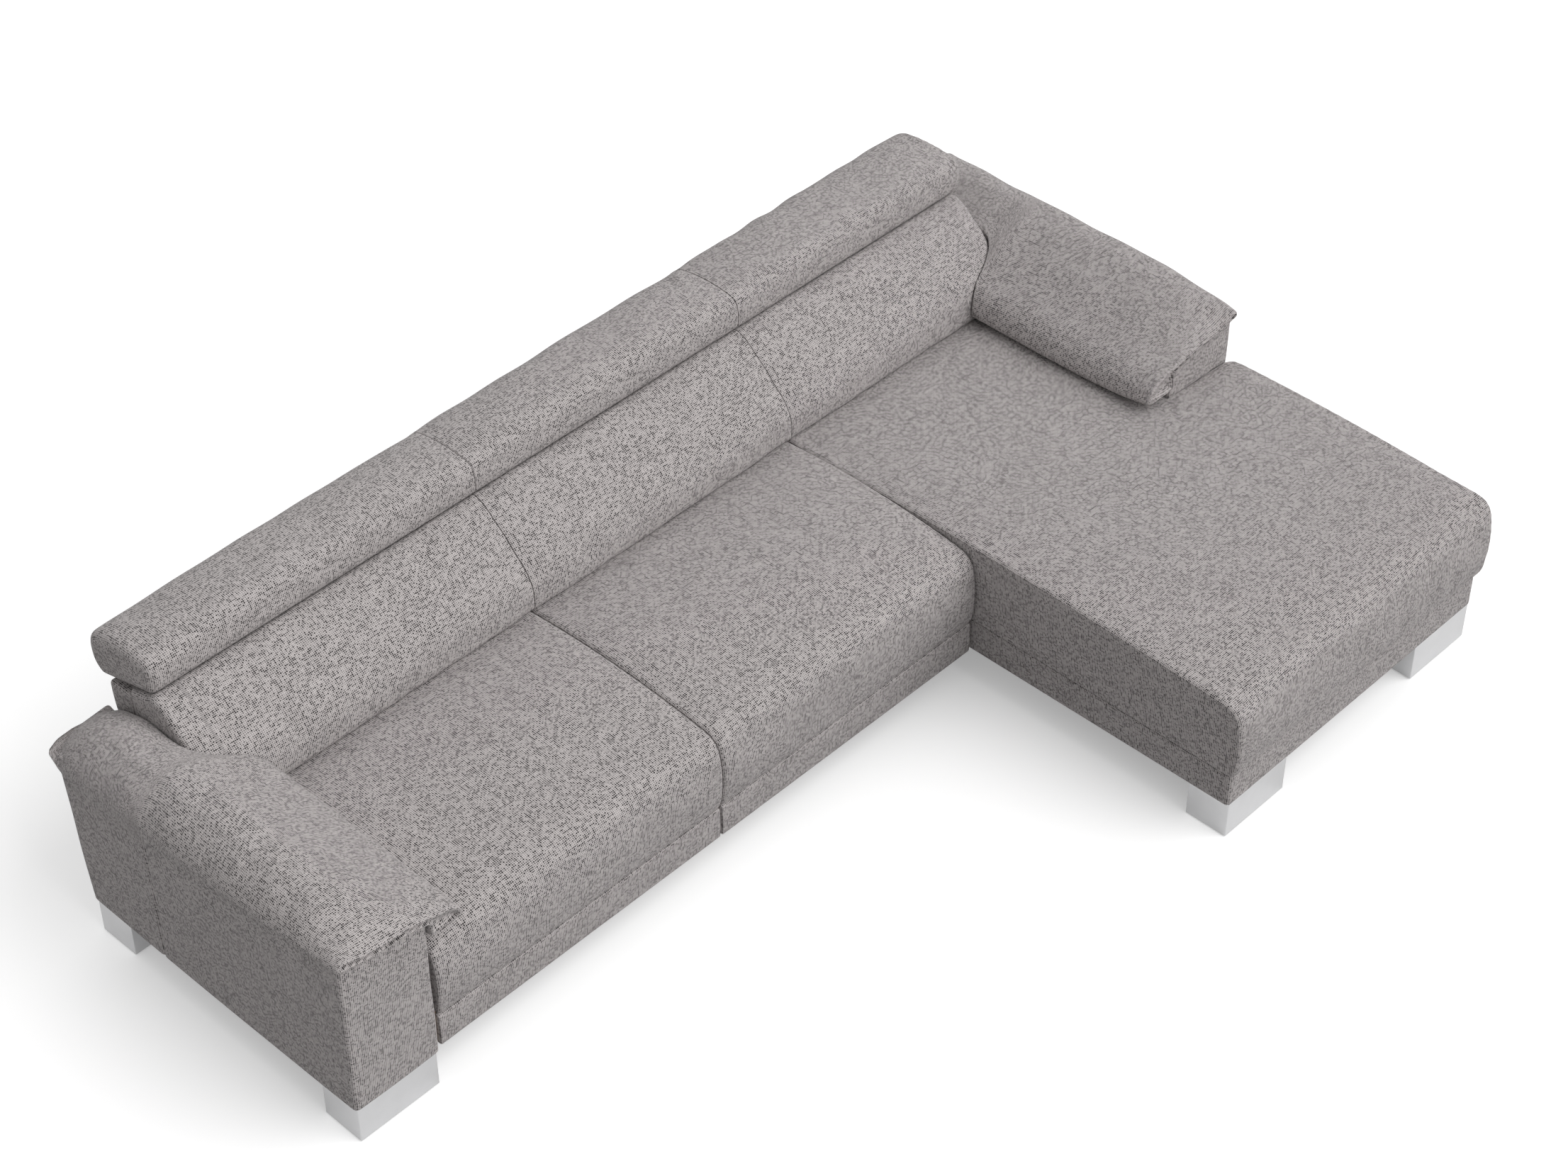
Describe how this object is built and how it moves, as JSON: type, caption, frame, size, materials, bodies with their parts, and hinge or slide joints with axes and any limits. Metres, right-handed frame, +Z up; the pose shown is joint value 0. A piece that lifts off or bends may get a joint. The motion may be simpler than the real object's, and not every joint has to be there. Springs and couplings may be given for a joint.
{
  "type": "corner sofa",
  "caption": "Corner sofa in warm grey woven fabric with a chaise at one end, draped arm pads, headrests that tilt up and bright block feet.",
  "frame": {"origin": "on the floor, under the middle of the sofa's box", "axes": "+X along the back towards the chaise, +Y to the rear, +Z up"},
  "size_m": [2.8812, 1.7318, 0.7417],
  "materials": {
    "fabric": "coarse open basket weave, warm grey with darker slubs",
    "wood": "raw planed softwood and board",
    "spring_steel": "oiled spring wire",
    "webbing": "elastic woven strap",
    "hinge_steel": "zinc-plated sheet",
    "chrome": "bright, polished",
    "black_plastic": "moulded",
    "dust_cloth": "thin non-woven cloth",
    "felt": "pressed felt"
  },
  "bodies": {
    "frame": {"left_plinth": "fabric", "left_seat_cushion": "fabric", "left_back_cushion": "fabric", "left_rear_panel": "fabric", "middle_plinth": "fabric", "middle_seat_cushion": "fabric", "middle_back_cushion": "fabric", "middle_rear_panel": "fabric", "chaise_plinth": "fabric", "chaise_seat_cushion": "fabric", "chaise_back_cushion": "fabric", "chaise_rear_panel": "fabric", "left_arm_cover": "fabric", "left_arm_pad": "fabric", "left_back_cheek": "fabric", "right_arm_cover": "fabric", "right_arm_pad": "fabric", "right_back_cheek": "fabric", "left_base_rails": "wood", "left_back_frame": "wood", "middle_base_rails": "wood", "middle_back_frame": "wood", "chaise_base_rails": "wood", "chaise_back_frame": "wood", "left_arm_frame": "wood", "right_arm_frame": "wood", "left_seat_springs": "spring_steel", "middle_seat_springs": "spring_steel", "chaise_seat_springs": "spring_steel", "left_back_straps": "webbing", "middle_back_straps": "webbing", "chaise_back_straps": "webbing", "left_hinge_bases": "hinge_steel", "left_hinge_pins": "hinge_steel", "middle_hinge_bases": "hinge_steel", "middle_hinge_pins": "hinge_steel", "chaise_hinge_bases": "hinge_steel", "chaise_hinge_pins": "hinge_steel", "foot_bolts": "hinge_steel", "seat_hooks": "hinge_steel", "seat_catches": "hinge_steel", "left_front_foot": "chrome", "left_rear_foot": "chrome", "chaise_left_foot": "chrome", "chaise_right_foot": "chrome", "chaise_rear_foot": "chrome", "spring_clips": "black_plastic", "support_legs": "black_plastic", "dust_covers": "dust_cloth", "foot_glides": "felt"},
    "left_headrest": {"left_headrest_cushion": "fabric", "left_headrest_board": "wood", "left_hinge_arms": "hinge_steel"},
    "middle_headrest": {"middle_headrest_cushion": "fabric", "middle_headrest_board": "wood", "middle_hinge_arms": "hinge_steel"},
    "chaise_headrest": {"chaise_headrest_cushion": "fabric", "chaise_headrest_board": "wood", "chaise_hinge_arms": "hinge_steel"}
  },
  "joints": [
    {"name": "left_headrest_tilt", "type": "hinge", "parent": "frame", "child": "left_headrest", "pos_m": [-0.812, 0.684, 0.668], "axis": [1, 0, 0], "range_deg": [0, 65]},
    {"name": "middle_headrest_tilt", "type": "hinge", "parent": "frame", "child": "middle_headrest", "pos_m": [0.057, 0.684, 0.668], "axis": [1, 0, 0], "range_deg": [0, 65]},
    {"name": "chaise_headrest_tilt", "type": "hinge", "parent": "frame", "child": "chaise_headrest", "pos_m": [0.869, 0.684, 0.668], "axis": [1, 0, 0], "range_deg": [0, 65]}
  ]
}
